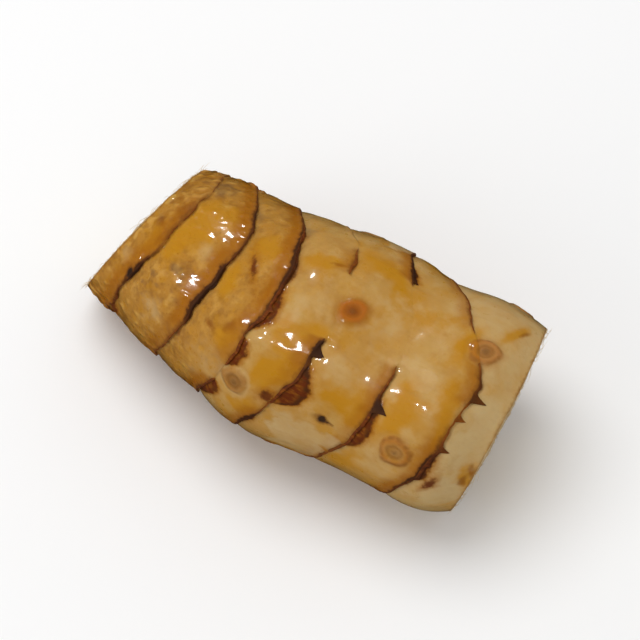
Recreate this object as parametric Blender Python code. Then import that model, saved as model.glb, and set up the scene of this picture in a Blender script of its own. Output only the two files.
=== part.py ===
"""One cut length of galangal rhizome, lying on its side.

The long axis runs along +X, with the thicker cut end at +X. Z = 0 is the flat spot that it rests on.
The tables below are in millimetres and degrees. "Along" is a place on the X axis, and "turn" is an angle
round it: a turn of 0 faces +Y, and a turn of 90 faces up.
"""

import math

import bmesh
import bpy
from mathutils import Vector

MM = 0.001

# The middle of the bounding box, taken from every point, so that the origin is under the middle of the part
CENTRE_ALONG = 32.3
CENTRE_ACROSS = -2.5
REST_LEVEL = -16.75

# The rhizome's growth line: along, half width, and how far the line bends away from the chord to the -Y side
SPINE = (
    (-8.0, 12.2, 0.1),
    (2.0, 13.6, 0.9),
    (10.0, 15.3, 1.8),
    (20.0, 16.4, 2.9),
    (31.0, 18.1, 3.7),
    (41.0, 18.2, 2.3),
    (50.0, 17.3, 1.8),
    (60.0, 17.7, 1.1),
    (65.0, 17.1, 0.3),
    (70.0, 15.3, -1.5),
    (76.0, 14.0, -2.2),
)

# The section is a little wider than it is tall, with three soft corners
WIDER = 1.02
FLATTER = 0.95
SOFT_CORNERS = 0.012
CORNER_TURN = 20.0
MEAN_HALF_WIDTH = 17.5
TOP_SHARE_OF_SWELLING = 0.70

# Oblique cuts: place at the axis, how far the cut leans along X at the skin, and the turn it leans towards
LEFT_CUT = (-1.1, 5.1, 65.0)
RIGHT_CUT = (66.9, 3.9, 125.0)
CUT_DOME = 0.7
CUT_ROWS = (0.9, 0.5)

# Ring scars, one at each node of the stem: place, forward bow, lean, the turn where the bow is furthest
# forward, and how deep the step is behind the scale margin
RINGS = (
    (3.8, 5.1, -2.0, 94.0, 0.40),
    (12.4, 7.2, 0.0, 110.0, 0.60),
    (20.8, 9.3, 1.1, 107.0, 0.60),
    (29.2, 11.5, -1.1, 122.0, 0.45),
    (42.2, 10.9, -1.2, 129.5, 0.45),
    (52.0, 13.8, 3.6, 115.0, 0.55),
)
# Places where a ring scar wanders off its smooth course: which ring, turn, shift along, and spread in degrees
WANDERINGS = (
    (0, 250.0, 1.4, 25.0),
    (1, 82.0, 1.7, 22.0),
    (1, 120.0, -0.5, 16.0),
    (1, 164.0, -0.4, 14.0),
    (1, 300.0, -1.0, 30.0),
    (2, 75.0, 1.0, 24.0),
    (2, 235.0, -0.7, 22.0),
    (3, 62.0, 1.5, 22.0),
    (3, 146.0, -0.4, 12.0),
    (3, 330.0, 1.1, 28.0),
    (4, 42.0, -0.7, 14.0),
    (4, 140.0, -0.5, 12.0),
    (4, 265.0, 2.3, 26.0),
    (5, 60.0, 0.7, 20.0),
    (5, 98.0, 0.9, 12.0),
    (5, 135.0, -1.5, 16.0),
    (5, 285.0, -1.2, 24.0),
)
# A bow eases off towards the back of the stem, where it turns slightly the other way
BOW_FRONT = 0.65
BOW_BACK = 0.35
# The frayed course of every scale margin: waves round the stem, and how far each shifts the margin
FRAYS = ((7, 0.22), (13, 0.16))

# The skin between two ring scars: how far it swells, flares up to a margin, and recovers behind one
SWELL = 0.32
SWELL_FULLNESS = 0.7
FLARE = 0.20
FLARE_REACH = 1.3
STEP_REACH = 1.9
STEP_WIDTH = 0.45

# Root scars, each a low dome with a raised rim and a nub in it: along, turn, and radius
ROOT_SCARS = (
    (42.3, 96.9, 2.3),
    (63.1, 83.2, 2.4),
    (58.6, 151.8, 2.7),
    (30.6, 154.3, 2.5),
    (8.0, 222.0, 1.8),
    (17.5, 255.0, 2.4),
    (16.0, 322.0, 2.0),
    (25.5, 224.0, 2.2),
    (25.0, 292.0, 2.6),
    (34.5, 246.0, 2.3),
    (36.0, 318.0, 2.5),
    (46.5, 225.0, 2.5),
    (49.0, 288.0, 2.2),
    (52.0, 340.0, 2.6),
    (57.5, 262.0, 2.4),
    (61.0, 20.0, 2.3),
    (34.0, 20.0, 2.4),
    (12.5, 25.0, 1.9),
)
SCAR_RIM_RISE = 0.40
SCAR_RIM_PLACE = 0.70
SCAR_RIM_WIDTH = 0.26
SCAR_NUB_RISE = 0.30
SCAR_NUB_WIDTH = 0.28
# Shares of a scar's radius within which the skin is refined, and within which it is raised
SCAR_REFINED = 1.25
SCAR_REACH = 2.0

SIDES = 64
BAND_ROWS = (0.0, 0.09, 0.22, 0.38, 0.55, 0.72, 0.87, 1.0)
END_BAND_ROWS = (0.0, 0.18, 0.42, 0.68, 0.88, 1.0)

SKIN_COLOUR = (0.45, 0.27, 0.09, 1.0)
SKIN_ROUGHNESS = 0.38
SHARP_EDGE = 50.0


def curve_through(stations, column, along):
    """A smooth curve through one column of a table, with level ends."""
    last = len(stations) - 1
    along = min(max(along, stations[0][0]), stations[last][0])
    i = max(k for k in range(last) if stations[k][0] <= along)
    x0, x1 = stations[i][0], stations[i + 1][0]
    y0, y1 = stations[i][column], stations[i + 1][column]

    def slope(k):
        if k in (0, last):
            return 0.0
        rise = stations[k + 1][column] - stations[k - 1][column]
        return rise / (stations[k + 1][0] - stations[k - 1][0])

    gap = x1 - x0
    t = (along - x0) / gap
    return (
        y0 * (1 + 2 * t) * (1 - t) ** 2
        + y1 * t * t * (3 - 2 * t)
        + gap * slope(i) * t * (1 - t) ** 2
        - gap * slope(i + 1) * t * t * (1 - t)
    )


def growth_line(along):
    """The middle of the stem as (across, height), and its half width there."""
    half_width = curve_through(SPINE, 1, along)
    bend = curve_through(SPINE, 2, along)
    height = TOP_SHARE_OF_SWELLING * (half_width - MEAN_HALF_WIDTH)
    return -bend, height, half_width


def skin_point(along, turn, relief=0.0):
    """A point of the skin, raised by relief."""
    across, height, half_width = growth_line(along)
    angle = math.radians(turn)
    corners = 1 + SOFT_CORNERS * math.cos(3 * math.radians(turn - CORNER_TURN))
    reach = half_width * corners + relief
    return Vector(
        (along, across + WIDER * reach * math.cos(angle), height + FLATTER * reach * math.sin(angle))
    )


def cut_place(cut, turn):
    """Where a cut crosses the skin."""
    place, lean, lean_turn = cut
    return place + lean * math.cos(math.radians(turn - lean_turn))


def turn_gap(turn, other):
    """The angle from other to turn, between -180 and 180."""
    return (turn - other + 180.0) % 360.0 - 180.0


def ring_place(number, turn):
    """Where a ring scar crosses the skin: bowed forward on one side, slightly back on the other, and wavy."""
    place, bow, lean, bow_turn, _ = RINGS[number]
    angle = math.radians(turn - bow_turn)
    along = place + bow * math.cos(angle) * (BOW_FRONT + BOW_BACK * math.cos(angle)) + lean * math.sin(angle)
    for ring, centre, shift, spread in WANDERINGS:
        if ring == number:
            along += shift * math.exp(-((turn_gap(turn, centre) / spread) ** 2))
    for waves, shift in FRAYS:
        along += shift * math.sin(waves * (math.radians(turn) + number))
    return along


def band_relief(from_start, to_end, length, start_step, end_flare):
    """Relief of the skin between two ring scars, at distances from the one before and the one after."""
    across_band = min(max(from_start / length, 0.0), 1.0)
    relief = SWELL * math.sin(math.pi * across_band) ** SWELL_FULLNESS
    relief -= start_step * math.exp(-from_start / STEP_REACH)
    relief += end_flare * math.exp(-to_end / FLARE_REACH)
    return relief


def band_rows(band):
    """Rows of points across one internode, from the ring scar or cut before it to the one after."""
    starts_at_cut = band == 0
    ends_at_cut = band == len(RINGS)
    shares = END_BAND_ROWS if starts_at_cut or ends_at_cut else BAND_ROWS
    step = 0.0 if starts_at_cut else RINGS[band - 1][4]
    flare = 0.0 if ends_at_cut else FLARE
    rows = []
    for share in shares:
        row = []
        for side in range(SIDES):
            turn = 360.0 * side / SIDES
            if starts_at_cut:
                start = cut_place(LEFT_CUT, turn)
            else:
                start = ring_place(band - 1, turn) + STEP_WIDTH
            end = cut_place(RIGHT_CUT, turn) if ends_at_cut else ring_place(band, turn)
            length = end - start
            from_start = share * length
            relief = band_relief(from_start, length - from_start, length, step, flare)
            row.append(skin_point(start + from_start, turn, relief))
        rows.append(row)
    return rows


def cut_normal(cut, side):
    """The way a cut end faces: side is -1 for the left cut and 1 for the right one."""
    place, lean, lean_turn = cut
    slope = lean / growth_line(place)[2]
    angle = math.radians(lean_turn)
    return Vector((side, -side * slope * math.cos(angle), -side * slope * math.sin(angle))).normalized()


def cut_rows(rim, outward):
    """Rows of points across a cut end, from its rim in to its middle, and the middle itself."""
    middle = sum(rim, Vector()) / len(rim)
    rows = []
    for share in CUT_ROWS:
        rise = outward * CUT_DOME * (1 - share**2)
        rows.append([middle.lerp(point, share) + rise for point in rim])
    return rows, middle + outward * CUT_DOME


def extrude_row(mesh, row, places):
    """Extrude a closed row of points, and move the new one to its places."""
    edges = [mesh.edges.get((row[i - 1], row[i])) for i in range(len(row))]
    made = bmesh.ops.extrude_edge_only(mesh, edges=edges)["geom"]
    new = {point for point in made if isinstance(point, bmesh.types.BMVert)}
    following = []
    for point, place in zip(row, places):
        partner = next(e.other_vert(point) for e in point.link_edges if e.other_vert(point) in new)
        partner.co = place
        following.append(partner)
    return following


def close_end(mesh, rim, rim_places, outward):
    """Fill a cut end from its rim in, with a last row drawn together at its middle."""
    rows, middle = cut_rows(rim_places, outward)
    end = rim
    for places in rows:
        end = extrude_row(mesh, end, places)
    last = extrude_row(mesh, end, [middle] * len(end))
    bmesh.ops.pointmerge(mesh, verts=last, merge_co=middle)


def stem():
    """The whole stem as one closed surface, swept from the left cut to the right one."""
    rows = [row for band in range(len(RINGS) + 1) for row in band_rows(band)]
    mesh = bmesh.new()
    first = bmesh.ops.create_circle(mesh, cap_ends=False, radius=1.0, segments=SIDES)["verts"]
    for point, place in zip(first, rows[0]):
        point.co = place
    last = first
    for places in rows[1:]:
        last = extrude_row(mesh, last, places)
    close_end(mesh, first, rows[0], cut_normal(LEFT_CUT, -1))
    close_end(mesh, last, rows[-1], cut_normal(RIGHT_CUT, 1))
    return mesh


def scar_profile(share):
    """Height of a root scar at a share of its radius: a rim round a hollow with a nub in it."""
    rim = SCAR_RIM_RISE * math.exp(-(((share - SCAR_RIM_PLACE) / SCAR_RIM_WIDTH) ** 2))
    nub = SCAR_NUB_RISE * math.exp(-((share / SCAR_NUB_WIDTH) ** 2))
    return rim + nub


def add_root_scars(mesh):
    """Refine the skin round each root scar and raise the scar out of it."""
    for along, turn, radius in ROOT_SCARS:
        middle = skin_point(along, turn)
        near = [f for f in mesh.faces if (f.calc_center_median() - middle).length < SCAR_REFINED * radius]
        edges = list({edge for face in near for edge in face.edges})
        bmesh.ops.subdivide_edges(mesh, edges=edges, cuts=1, use_grid_fill=True)
        across, height, _ = growth_line(along)
        outward = (middle - Vector((along, across, height))).normalized()
        for point in mesh.verts:
            share = (point.co - middle).length / radius
            if share < SCAR_REACH:
                point.co += outward * scar_profile(share)


def rest_on_flat_spot(mesh):
    """Flatten what would reach below the level that the rhizome rests on."""
    for point in mesh.verts:
        point.co.z = max(point.co.z, REST_LEVEL)


def skin_material():
    material = bpy.data.materials.new("galangal_skin")
    material.use_nodes = True
    shader = material.node_tree.nodes["Principled BSDF"]
    shader.inputs["Base Color"].default_value = SKIN_COLOUR
    shader.inputs["Roughness"].default_value = SKIN_ROUGHNESS
    shader.inputs["Metallic"].default_value = 0.0
    return material


def rhizome():
    """The one piece: skin, ring scars, root scars and both cut ends."""
    mesh = stem()
    add_root_scars(mesh)
    rest_on_flat_spot(mesh)
    origin = Vector((CENTRE_ALONG, CENTRE_ACROSS, REST_LEVEL))
    for point in mesh.verts:
        point.co = (point.co - origin) * MM
    bmesh.ops.triangulate(mesh, faces=mesh.faces)
    bmesh.ops.recalc_face_normals(mesh, faces=mesh.faces)
    data = bpy.data.meshes.new("rhizome")
    mesh.to_mesh(data)
    mesh.free()
    data.shade_smooth()
    data.set_sharp_from_angle(angle=math.radians(SHARP_EDGE))
    data.materials.append(skin_material())
    body = bpy.data.objects.new("rhizome", data)
    bpy.context.scene.collection.objects.link(body)
    return body


for old in list(bpy.data.objects):
    bpy.data.objects.remove(old, do_unlink=True)
rhizome()
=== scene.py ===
# The finished look of one cut length of galangal rhizome, lying on its side on a pale table.
# A place on the skin is given as "along", in millimetres on the long axis, and "turn", in degrees round it.
# A turn of 0 faces +Y, a turn of 90 faces up and a turn of 180 faces -Y, as in the solid's own source.
import math

import bpy
import numpy as np
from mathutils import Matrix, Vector, noise


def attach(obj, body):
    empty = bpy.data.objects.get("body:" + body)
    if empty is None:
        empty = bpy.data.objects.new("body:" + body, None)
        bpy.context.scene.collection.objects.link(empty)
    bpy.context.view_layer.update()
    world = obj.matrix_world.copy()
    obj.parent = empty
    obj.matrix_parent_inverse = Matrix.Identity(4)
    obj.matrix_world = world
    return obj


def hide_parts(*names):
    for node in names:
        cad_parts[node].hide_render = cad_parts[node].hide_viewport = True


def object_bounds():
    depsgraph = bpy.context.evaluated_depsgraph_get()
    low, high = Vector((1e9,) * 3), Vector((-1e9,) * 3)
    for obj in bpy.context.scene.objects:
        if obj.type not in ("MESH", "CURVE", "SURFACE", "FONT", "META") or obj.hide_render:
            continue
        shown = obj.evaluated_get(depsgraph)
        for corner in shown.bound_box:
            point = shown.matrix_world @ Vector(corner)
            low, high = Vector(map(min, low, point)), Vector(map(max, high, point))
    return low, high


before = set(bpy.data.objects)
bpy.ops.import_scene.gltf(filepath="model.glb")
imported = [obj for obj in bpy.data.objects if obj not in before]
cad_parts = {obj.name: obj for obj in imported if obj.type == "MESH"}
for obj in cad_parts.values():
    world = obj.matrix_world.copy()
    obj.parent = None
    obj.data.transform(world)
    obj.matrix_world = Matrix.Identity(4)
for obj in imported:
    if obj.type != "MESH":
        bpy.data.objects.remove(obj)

solid_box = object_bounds()


# The skin's form. The rhizome grew as one stout stem of seven internodes. Its waxy skin swells a little
# between two ring scars, flares up to the scale margin at each, and steps down behind it. The spine, the
# cuts and the ring scars are those of the solid, so that the fine skin lies where the solid's skin is.
MM = 0.001
# Where the part's frame starts: along, across and height
ORIGIN = np.array((32.3, -2.5, -16.75))

# Along, half width, and bend to the -Y side
SPINE = np.array((
    (-8, 12.2, 0.1), (2, 13.6, 0.9), (10, 15.3, 1.8), (20, 16.4, 2.9), (31, 18.1, 3.7), (41, 18.2, 2.3),
    (50, 17.3, 1.8), (60, 17.7, 1.1), (65, 17.1, 0.3), (70, 15.3, -1.5), (76, 14, -2.2),
))
WIDER = 1.02
FLATTER = 0.95
SOFT_CORNERS = 0.012
CORNER_TURN = 20.0
MEAN_HALF_WIDTH = 17.5
TOP_SHARE_OF_SWELLING = 0.70

# Cuts: place, lean along X at the skin, and the turn it leans towards
LEFT_CUT = (-1.1, 5.1, 65.0)
RIGHT_CUT = (66.9, 3.9, 125.0)
CUT_DOME = 0.7

# Ring scars: place, forward bow, lean, the turn where the bow is furthest forward, and depth of the step
RINGS = (
    (3.8, 5.1, -2, 94, 0.4), (12.4, 7.2, 0, 110, 0.6), (20.8, 9.3, 1.1, 107, 0.6),
    (29.2, 11.5, -1.1, 122, 0.45), (42.2, 10.9, -1.2, 129.5, 0.45), (52, 13.8, 3.6, 115, 0.55),
)
# Where a ring scar wanders off its smooth course: which ring, turn, shift along, and spread in degrees
WANDERINGS = (
    (0, 250, 1.4, 25), (1, 82, 1.7, 22), (1, 120, -0.5, 16), (1, 164, -0.4, 14), (1, 300, -1, 30),
    (2, 75, 1, 24), (2, 235, -0.7, 22), (3, 62, 1.5, 22), (3, 146, -0.4, 12), (3, 330, 1.1, 28),
    (4, 42, -0.7, 14), (4, 140, -0.5, 12), (4, 265, 2.3, 26), (5, 60, 0.7, 20), (5, 98, 0.9, 12),
    (5, 135, -1.5, 16), (5, 285, -1.2, 24),
)
BOW_FRONT = 0.65
BOW_BACK = 0.35
FRAYS = ((7, 0.22), (13, 0.16))
# Finer fraying than the solid's: waves round the stem, and how far each shifts the margin
FINE_FRAYS = ((34, 0.22), (90, 0.11))

SWELL = 0.32
SWELL_FULLNESS = 0.7
FLARE = 0.20
FLARE_REACH = 1.3
STEP_REACH = 1.9
STEP_WIDTH = 0.45

# What is left of each scale margin round the stem, ring by ring: turn, strength of the dark line, how far
# the papery edge reaches over the step in millimetres, and how rusty the edge is
MARGINS = (
    ((20, 0.4, 0.15, 0.5), (60, 0.3, 0.1, 0.8), (88, 0.45, 0.15, 1), (100, 0.5, 0.15, 0.9),
     (115, 0.5, 0.12, 0.9), (128, 0.75, 0.15, 0.5), (136, 1, 0.3, 0.1), (141, 1, 0.4, 0),
     (145, 0.8, 0.25, 0.2), (155, 0.6, 0.2, 0.7), (165, 0.65, 0.4, 0.9), (175, 0.6, 0.4, 0.9),
     (230, 0.5, 0.2, 0.5), (300, 0.6, 0.3, 0.5)),
    ((20, 0.5, 0.15, 0.5), (60, 0.7, 0.2, 0.4), (72, 0.82, 0.22, 0.3), (85, 0.66, 0.18, 0.6),
     (100, 0.74, 0.18, 0.4), (110, 1, 0.35, 0), (118, 1, 0.45, 0), (128, 1, 0.35, 0.1),
     (140, 0.85, 0.3, 0.3), (150, 0.46, 0.3, 1), (160, 0.44, 0.2, 1), (175, 0.5, 0.25, 0.9),
     (240, 0.5, 0.2, 0.5), (300, 0.7, 0.3, 0.5)),
    ((20, 0.6, 0.3, 0.5), (55, 0.7, 0.3, 0.4), (63, 0.8, 0.6, 0.9), (75, 0.9, 0.5, 0.5), (85, 1, 0.7, 0.5),
     (95, 0.95, 0.6, 0.4), (103, 0.85, 1, 0.8), (112, 0.75, 2.1, 0.8), (118, 0.75, 1.9, 0.9),
     (124, 0.8, 0.8, 0.6), (127, 0.5, 0.2, 0.5), (129.5, 0.5, 0.2, 0.8), (131, 0.5, 1.2, 0.9),
     (138, 0.48, 1.9, 0.9), (145, 0.45, 1.7, 0.9), (149, 0.2, 0.1, 0.9), (161, 0.2, 0.1, 0.9),
     (166, 0.6, 2.2, 0.8), (173, 0.65, 2.6, 0.8), (182, 0.7, 1.3, 0.7), (190, 0.6, 0.3, 0.5),
     (240, 0.6, 0.4, 0.5), (310, 0.8, 0.5, 0.5)),
    ((20, 0.4, 0.2, 0.6), (55, 0.1, 0.05, 0.6), (62, 0.4, 0.2, 1.2), (67, 0.45, 0.5, 1.4),
     (73, 0.5, 0.6, 1.4), (78, 0.4, 0.2, 1.3), (80, 0.03, 0, 1), (114, 0.03, 0, 0.5), (117, 0.85, 0.3, 0.1),
     (122, 0.9, 0.6, 0), (127, 0.66, 0.4, 0.3), (131, 0.58, 0.8, 0.4), (137, 0.46, 1.9, 0.6),
     (145, 0.42, 3.7, 0.8), (152, 0.4, 3.8, 0.85), (155, 0.4, 2.6, 0.8), (157.5, 0.36, 0.3, 0.8),
     (163, 0.35, 0.15, 0.8), (170, 0.8, 0.4, 0.3), (178, 1, 0.9, 0.4), (187, 0.8, 0.5, 0.5),
     (240, 0.5, 0.3, 0.5), (310, 0.6, 0.4, 0.5)),
    ((20, 0.4, 0.2, 0.5), (45, 0.8, 0.4, 0.2), (52, 1, 0.9, 0), (58, 0.9, 1, 0), (62, 0.5, 0.3, 0.2),
     (65, 0.04, 0, 0.5), (108, 0.04, 0, 0.5), (112, 0.5, 0.12, 1), (118, 0.6, 0.2, 0.9),
     (126, 0.68, 0.35, 0.6), (133, 0.85, 1.1, 0), (137, 0.65, 1, 0.4), (140, 0.52, 1.3, 0.9),
     (150, 0.45, 2.2, 1), (157, 0.45, 2, 1), (162, 0.48, 1.2, 0.9), (166, 0.5, 0.3, 0.9),
     (180, 0.48, 0.25, 0.9), (190, 0.52, 0.3, 0.7), (240, 0.6, 0.4, 0.5), (310, 0.7, 0.5, 0.5)),
    ((20, 0.5, 0.3, 0.5), (47, 0.5, 0.2, 0.7), (60, 0.5, 0.2, 0.7), (72, 0.45, 0.2, 0.7),
     (78, 0.1, 0.05, 0.5), (88, 0.1, 0.05, 0.5), (93, 0.5, 0.2, 0.8), (101, 0.62, 0.3, 0.5),
     (111, 0.62, 0.35, 0.3), (116, 0.3, 0.15, 1.1), (124, 0.3, 0.18, 1.1), (133, 0.4, 0.2, 0.9),
     (143, 0.72, 0.5, 0.6), (150, 0.9, 0.9, 0.6), (158, 0.9, 1, 0.7), (163, 1, 1.2, 0.4),
     (166, 0.9, 0.5, 0.6), (172, 0.8, 0.5, 0.7), (184, 0.7, 0.3, 0.7), (240, 0.6, 0.4, 0.5),
     (310, 0.7, 0.4, 0.5)),
)
# A worn margin stands up less than a whole one, and the hollow at it is filled by this share
WORN_MARGIN = 0.02
WORN_FILL = 0.85
# Where the papery edge reaches further, a piece of the scale leaf is left. It lies over the step and partly
# fills it. These are the reaches where a leaf starts and is whole, and how soft its far edge is.
LEAF_STARTS, LEAF_WHOLE = 0.4, 0.9
LEAF_SOFTNESS = 0.4
LEAF_FILL = 0.55
LEAF_RISE = 0.06
# What is nowhere near a ring scar or a mark is this far from it
FAR_OFF = 40.0

# The mesh: points round the stem, and rows of them across a band, over a lip and across a cut end
SIDES = 352
FIRST_BAND_ROWS = 20
BAND_ROWS = 30
LAST_BAND_ROWS = 34
LIP_ROWS = (0.12, 0.32, 0.56, 0.80)
ROW_CROWDING = 0.68
CUT_ROWS = (0.99, 0.978, 0.964, *(0.945 - 0.0412 * step for step in range(22)))

# Noise: how strong it is, and how far apart the places for its seeds are
NOISE_GAIN = 1.6
SEED_STEP = 17.3


def curve_through(column, along):
    """A smooth curve through one column of the spine's table, with level ends."""
    stations, values = SPINE[:, 0], SPINE[:, column]
    along = np.clip(along, stations[0], stations[-1])
    i = np.clip(np.searchsorted(stations, along, side="right") - 1, 0, len(stations) - 2)
    slopes = np.zeros(len(stations))
    slopes[1:-1] = (values[2:] - values[:-2]) / (stations[2:] - stations[:-2])
    gap = stations[i + 1] - stations[i]
    t = (along - stations[i]) / gap
    return (
        values[i] * (1 + 2 * t) * (1 - t) ** 2
        + values[i + 1] * t * t * (3 - 2 * t)
        + gap * slopes[i] * t * (1 - t) ** 2
        - gap * slopes[i + 1] * t * t * (1 - t)
    )


def skin_points(along, turn, relief=0.0):
    """Points of the skin in millimetres, raised by relief, in the tables' own frame."""
    half_width = curve_through(1, along)
    angle = np.radians(turn)
    corners = 1 + SOFT_CORNERS * np.cos(3 * np.radians(turn - CORNER_TURN))
    reach = half_width * corners + relief
    across = WIDER * reach * np.cos(angle) - curve_through(2, along)
    height = FLATTER * reach * np.sin(angle) + TOP_SHARE_OF_SWELLING * (half_width - MEAN_HALF_WIDTH)
    return np.stack(np.broadcast_arrays(along, across, height), axis=-1)


def cut_place(cut, turn):
    place, lean, lean_turn = cut
    return place + lean * np.cos(np.radians(turn - lean_turn))


def turn_gap(turn, other):
    """The angle from other to turn, between -180 and 180."""
    return (turn - other + 180.0) % 360.0 - 180.0


def hump(gap, spread):
    return np.exp(-((gap / spread) ** 2))


def fade(value, start, end):
    """0 before start, 1 past end, and smooth between them."""
    share = np.clip((value - start) / (end - start), 0.0, 1.0)
    return share * share * (3 - 2 * share)


def noise_at(places):
    return np.array([NOISE_GAIN * noise.noise(Vector(place)) for place in places])


def ragged(turn, waves, seed):
    """Irregular waves round the stem, between about -1 and 1, that meet where they started."""
    reach = waves / math.tau
    return noise_at((reach * math.cos(a), reach * math.sin(a), seed) for a in np.radians(turn))


def clouds(points, size, seed):
    """Irregular lumps of that size, between about -1 and 1, at each of the points."""
    return noise_at(points.reshape(-1, 3) / size + seed * SEED_STEP).reshape(points.shape[:-1])


def ring_place(number, turn):
    """Where a ring scar crosses the skin: bowed forward on one side, and frayed."""
    place, bow, lean, bow_turn, _ = RINGS[number]
    angle = np.radians(turn - bow_turn)
    along = place + bow * np.cos(angle) * (BOW_FRONT + BOW_BACK * np.cos(angle)) + lean * np.sin(angle)
    for ring, centre, shift, spread in WANDERINGS:
        if ring == number:
            along = along + shift * hump(turn_gap(turn, centre), spread)
    for waves, shift in FRAYS:
        along = along + shift * np.sin(waves * (np.radians(turn) + number))
    for waves, shift in FINE_FRAYS:
        along = along + shift * ragged(turn, waves, number + 0.5)
    return along


def margin_left(number, turn):
    """What is left of a scale margin: its strength, how far its edge reaches, and how rusty that is."""
    if number not in range(len(RINGS)):
        return np.zeros((3, len(turn)))
    knots = np.array(MARGINS[number], float).T
    return [np.interp(turn, knots[0], column, period=360) for column in knots[1:]]


def wholeness(number, turn):
    """How whole a margin is, from nearly 0 to 1. A cut counts as whole."""
    if number not in range(len(RINGS)):
        return np.ones(len(turn))
    return WORN_MARGIN + (1 - WORN_MARGIN) * margin_left(number, turn)[0]


def band_behind(number, turn):
    """The band behind a ring scar, or behind the left cut: its start, its length, and what forms it."""
    first, last = number < 0, number + 1 == len(RINGS)
    start = cut_place(LEFT_CUT, turn) if first else ring_place(number, turn) + STEP_WIDTH
    end = cut_place(RIGHT_CUT, turn) if last else ring_place(number + 1, turn)
    whole, next_whole = wholeness(number, turn), wholeness(number + 1, turn)
    step = 0.0 if first else RINGS[number][4] * whole
    return start, end - start, (step, 0.0 if last else FLARE * next_whole, whole, next_whole)


def band_relief(from_start, length, step, next_flare, whole, next_whole):
    """Relief of the skin between two ring scars, at a distance from the foot of the first one's step."""
    across_band = np.clip(from_start / length, 0.0, 1.0)
    swelling = np.sin(math.pi * across_band) ** SWELL_FULLNESS
    worn = 1 - np.where(across_band < 0.5, whole, next_whole)
    relief = SWELL * (swelling + WORN_FILL * worn * (1 - swelling)) - step * np.exp(-from_start / STEP_REACH)
    return relief + next_flare * np.exp((from_start - length) / FLARE_REACH)


def leaf_lift(step, reach, behind):
    """How far what is left of a scale leaf lifts the surface, at a distance behind the margin."""
    cover = fade(reach - behind, -LEAF_SOFTNESS, LEAF_SOFTNESS) * fade(reach, LEAF_STARTS, LEAF_WHOLE)
    return (step * LEAF_FILL + LEAF_RISE) * cover


def crowded_shares(rows):
    """Shares from 0 to 1 that lie closer together at both ends."""
    steps = np.linspace(0.0, 1.0, rows)
    return steps - ROW_CROWDING * np.sin(math.tau * steps) / math.tau


turns = np.arange(SIDES) * 360.0 / SIDES
skin_rows = []


def add_skin_row(*values):
    """Keep a row of the skin: its place, its relief, and what the ring scars do to it."""
    skin_rows.append(np.stack(np.broadcast_arrays(turns, *values)))


for number in range(-1, len(RINGS)):
    first, last = number < 0, number + 1 == len(RINGS)
    start, length, forms = band_behind(number, turns)
    step, _, whole, _ = forms
    ahead_strength, left_behind = margin_left(number + 1, turns)[0], margin_left(number, turns)
    behind_strength, leaf_reach, _ = left_behind
    for share in () if first else LIP_ROWS:
        drop, behind = fade(share, 0.0, 1.0), share * STEP_WIDTH
        at_margin = share == LIP_ROWS[0]
        ahead = 0.0 if at_margin else np.minimum(length + STEP_WIDTH - behind, FAR_OFF)
        relief = FLARE * whole * (1 - drop) - step * drop + SWELL * WORN_FILL * (1 - whole)
        relief = relief + leaf_lift(step, leaf_reach, behind) * drop
        line_strength = behind_strength if at_margin else ahead_strength
        add_skin_row(start - STEP_WIDTH + behind, relief, ahead, behind, line_strength, *left_behind)
    for share in crowded_shares(FIRST_BAND_ROWS if first else LAST_BAND_ROWS if last else BAND_ROWS):
        from_start = share * length
        ahead = FAR_OFF if last else length - from_start
        behind = FAR_OFF if first else from_start + STEP_WIDTH
        relief = band_relief(from_start, length, *forms) + leaf_lift(step, leaf_reach, behind)
        add_skin_row(start + from_start, relief, ahead, behind, ahead_strength, *left_behind)

skin_values = np.stack(skin_rows, axis=1)
turn, along, relief = skin_values[:3]
smooth_skin = skin_points(along, turn)
half_widths = curve_through(1, along)


# Marks on the skin: scale remnants, stains, bruises, and places where the thin golden outer skin has peeled
# off the paler skin below. Each is a soft-edged patch: along, turn, half length and half width in
# millimetres, and for some the length's lean towards a higher turn, and how the patch narrows along it.
PEELED = (
    (42, 176, 4.6, 4.6, 8), (47, 168, 2.6, 2.4, 20), (44.8, 182, 2.4, 2.6, 20), (40.6, 190, 4, 3),
    (39.6, 163, 2, 1.5), (44.5, 165, 2.2, 1.8, 10), (68.2, 128, 2, 7), (66.6, 172, 2.6, 4.5, 10),
    (38, 232, 4, 4.5, 15, 0.2), (58, 235, 4, 5, -20), (24, 262, 3.5, 4, 10, 0.2), (45, 310, 4.4, 5, 0, 0.1),
    (57, 5, 3, 4.5, 0, 0.2), (40, 30, 3, 4, -10),
)
PALE_STAINS = (
    (54.6, 163, 1.8, 5.2, 28), (58.4, 165, 3.4, 2.6, -6), (30.4, 154.5, 3.2, 3), (64, 172, 2.4, 3),
    (24, 157, 3.4, 4.2), (45.2, 125, 3.2, 2.2, 5), (11.5, 152, 3, 2.6), (3.5, 132, 1.8, 1.6),
    (15.5, 104, 1.6, 2.2), (54.8, 104, 2.4, 2), (48, 88, 3, 4), (60.5, 120, 2.2, 3), (34.5, 104, 2.6, 2.6),
    (54.8, 60, 3, 4), (20, 240, 4, 5), (42, 270, 4, 5), (58, 310, 4, 5), (34, 345, 4, 5),
)
SCALE_REMNANTS = (
    (36.3, 154.6, 1.2, 0.85, 5), (65.3, 164.2, 0.55, 1.3, 22, 0.3), (2.9, 183, 0.9, 1.2),
    (24.3, 96.5, 0.4, 1.75, -32), (31.5, 265, 1.3, 2.4, 10, 0.2), (20.5, 305, 0.9, 2, -15),
    (53, 306, 1.2, 2.2, 20, 0.1), (47.5, 255, 0.8, 1.5, 40), (65.5, 330, 1, 2.6, 0, 0.1),
    (43, 350, 1.1, 1.9, -10, 0.2), (9, 290, 0.8, 1.6), (36.5, 205, 0.9, 1.7, 20),
)
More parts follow.
